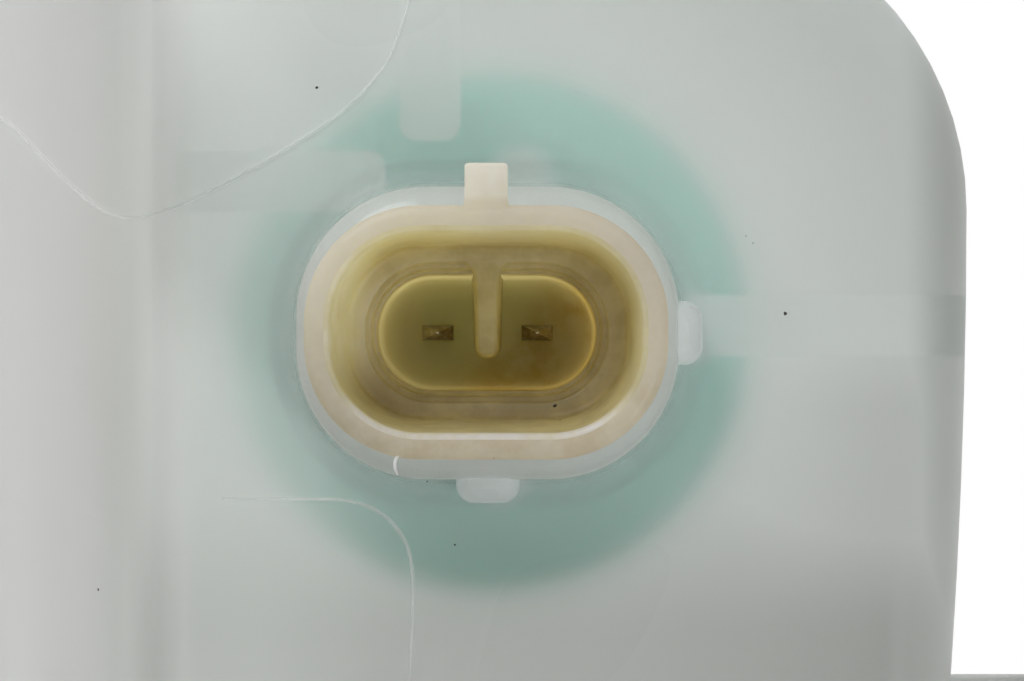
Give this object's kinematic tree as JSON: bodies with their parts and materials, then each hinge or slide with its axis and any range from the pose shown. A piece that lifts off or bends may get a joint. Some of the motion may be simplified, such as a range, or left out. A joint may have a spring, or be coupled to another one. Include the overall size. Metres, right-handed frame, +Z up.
{
  "type": "coolant expansion tank",
  "caption": "Translucent moulded coolant tank with a raised shelf, a float level sensor and plug socket under it, a screw cap with valves, hose nipples and rubber-mounted ears.",
  "frame": {"origin": "middle of the deep block's flat bottom", "axes": "+X along the tank towards the shelf with the level sensor, +Y from the front to the back, +Z up as installed"},
  "size_m": [0.2585, 0.1553, 0.1762],
  "materials": {
    "milky_plastic": "satin, translucent",
    "ivory_plastic": "satin",
    "teal_plastic": "matt",
    "black_plastic": "satin",
    "grey_plastic": "satin",
    "black_rubber": "matt",
    "brass": "tinned and dull",
    "steel": "plain",
    "magnet": "matt ferrite",
    "reed_glass": "clear"
  },
  "bodies": {
    "tank": {"lower_shell": "milky_plastic", "upper_shell": "milky_plastic", "sensor_housing": "ivory_plastic", "sensor_seal": "black_rubber", "terminal_left": "brass", "terminal_right": "brass", "reed_switch": "reed_glass", "float_clip": "ivory_plastic", "grommet_left": "black_rubber", "grommet_right": "black_rubber", "sleeve_left": "steel", "sleeve_right": "steel"},
    "float": {"float_ring": "teal_plastic", "float_magnet": "magnet"},
    "cap_core": {"cap_insert": "grey_plastic", "cap_seal": "black_rubber", "spring_retainer": "grey_plastic", "pressure_valve_spring": "steel"},
    "cap_grip": {"cap_cover": "black_plastic"},
    "pressure_valve": {"pressure_valve_plate": "steel", "pressure_valve_gasket": "black_rubber", "vacuum_valve_spring": "steel"},
    "vacuum_valve": {"vacuum_valve": "steel"}
  },
  "joints": [
    {"name": "float_slide", "type": "slide", "parent": "tank", "child": "float", "axis": [0, 0, 1], "range_m": [0, 0.02]},
    {"name": "cap_lift", "type": "slide", "parent": "tank", "child": "cap_core", "axis": [0, 0, 1], "range_m": [0, 0.024]},
    {"name": "cap_turn", "type": "hinge", "parent": "cap_core", "child": "cap_grip", "pos_m": [-0.015, 0, 0.168], "axis": [0, 0, 1], "range_deg": [0, 1440]},
    {"name": "pressure_valve_lift", "type": "slide", "parent": "cap_core", "child": "pressure_valve", "axis": [0, 0, 1], "range_m": [0, 0.002], "stiffness_N_per_m": 5000, "springref_m": -0.005, "deforming": ["pressure_valve_spring"]},
    {"name": "vacuum_valve_drop", "type": "slide", "parent": "pressure_valve", "child": "vacuum_valve", "axis": [0, 0, -1], "range_m": [0, 0.0012], "stiffness_N_per_m": 80, "springref_m": -0.002, "deforming": ["vacuum_valve_spring"]}
  ],
  "couplings": [
    {"joint": "cap_lift", "follows": "cap_turn", "m_per_rad": 0.00095492}
  ]
}
